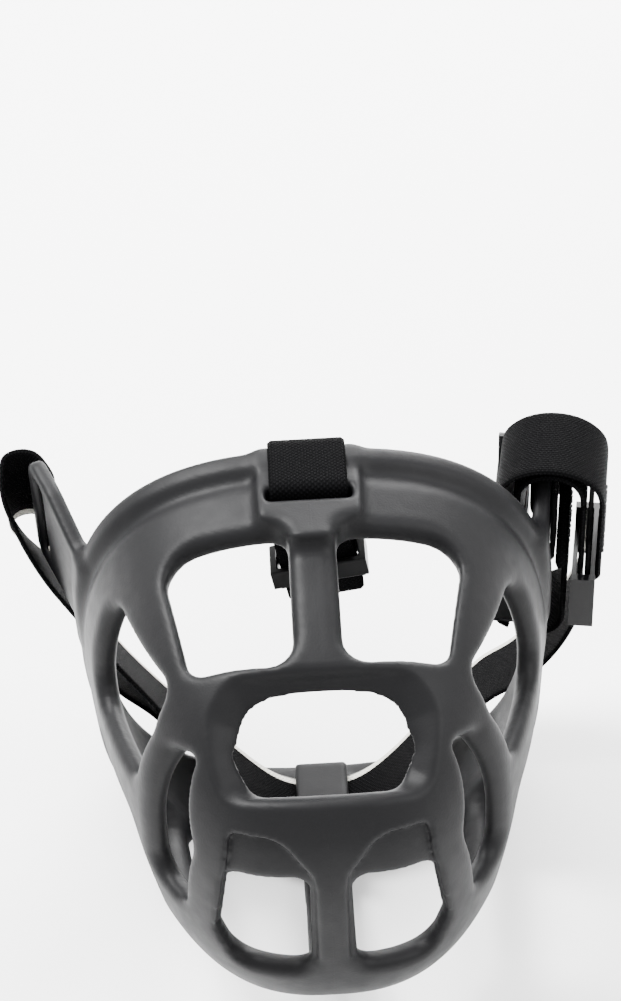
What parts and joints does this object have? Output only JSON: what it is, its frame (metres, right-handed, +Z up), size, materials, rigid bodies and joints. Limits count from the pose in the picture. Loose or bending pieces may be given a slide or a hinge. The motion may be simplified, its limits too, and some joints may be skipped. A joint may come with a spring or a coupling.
{
  "type": "dog basket muzzle",
  "caption": "Moulded rubber basket muzzle with strap arms, a neck strap with side-release buckle and slider, and an overhead strap.",
  "frame": {"origin": "centre of the object's box at its base, on the surface it stands on", "axes": "+Z up; the nose points to -Y and the rim's rear face looks along +Y; +X is the wearer's left, the side with the buckle"},
  "size_m": [0.1678, 0.143, 0.1331],
  "materials": {
    "rubber": "matte with a soft sheen",
    "webbing": "woven nylon",
    "acetal": "satin moulding",
    "thread": "sewing thread"
  },
  "bodies": {
    "muzzle": {"basket": "rubber", "neck_strap": "webbing", "strap_tail": "webbing", "buckle_strap": "webbing", "buckle_housing": "acetal", "overhead_loop": "webbing", "arm_stitching": "thread"},
    "clip": {"clip_base": "acetal", "adjuster_loop": "webbing", "neck_slider": "acetal", "loop_stitching": "thread"},
    "prong_front": {"release_prong_front": "acetal"},
    "prong_rear": {"release_prong_rear": "acetal"},
    "tail": {"overhead_tail": "webbing"},
    "tail_slider": {"overhead_slider": "acetal"}
  },
  "joints": [
    {"name": "clip_slide", "type": "slide", "parent": "muzzle", "child": "clip", "axis": [0, 0, 1], "range_m": [0, 0.03]},
    {"name": "prong_front_flex", "type": "hinge", "parent": "clip", "child": "prong_front", "pos_m": [0.05457, 0.04341, 0.0835], "axis": [0.9854, -0.1702, 0], "range_deg": [0, 8], "stiffness_Nm_per_rad": 0.05},
    {"name": "prong_rear_flex", "type": "hinge", "parent": "clip", "child": "prong_rear", "pos_m": [0.05771, 0.06154, 0.0835], "axis": [-0.9854, 0.1702, 0], "range_deg": [0, 8], "stiffness_Nm_per_rad": 0.05},
    {"name": "tail_swing", "type": "hinge", "parent": "muzzle", "child": "tail", "pos_m": [0.00046, 0.01679, 0.119], "axis": [1, 0, 0], "range_deg": [-25, 25]},
    {"name": "tail_slider_slide", "type": "slide", "parent": "tail", "child": "tail_slider", "axis": [0.1564, 0, -0.9877], "range_m": [-0.006, 0.006]}
  ],
  "couplings": [
    {"joint": "prong_rear_flex", "follows": "prong_front_flex", "ratio": 1}
  ]
}
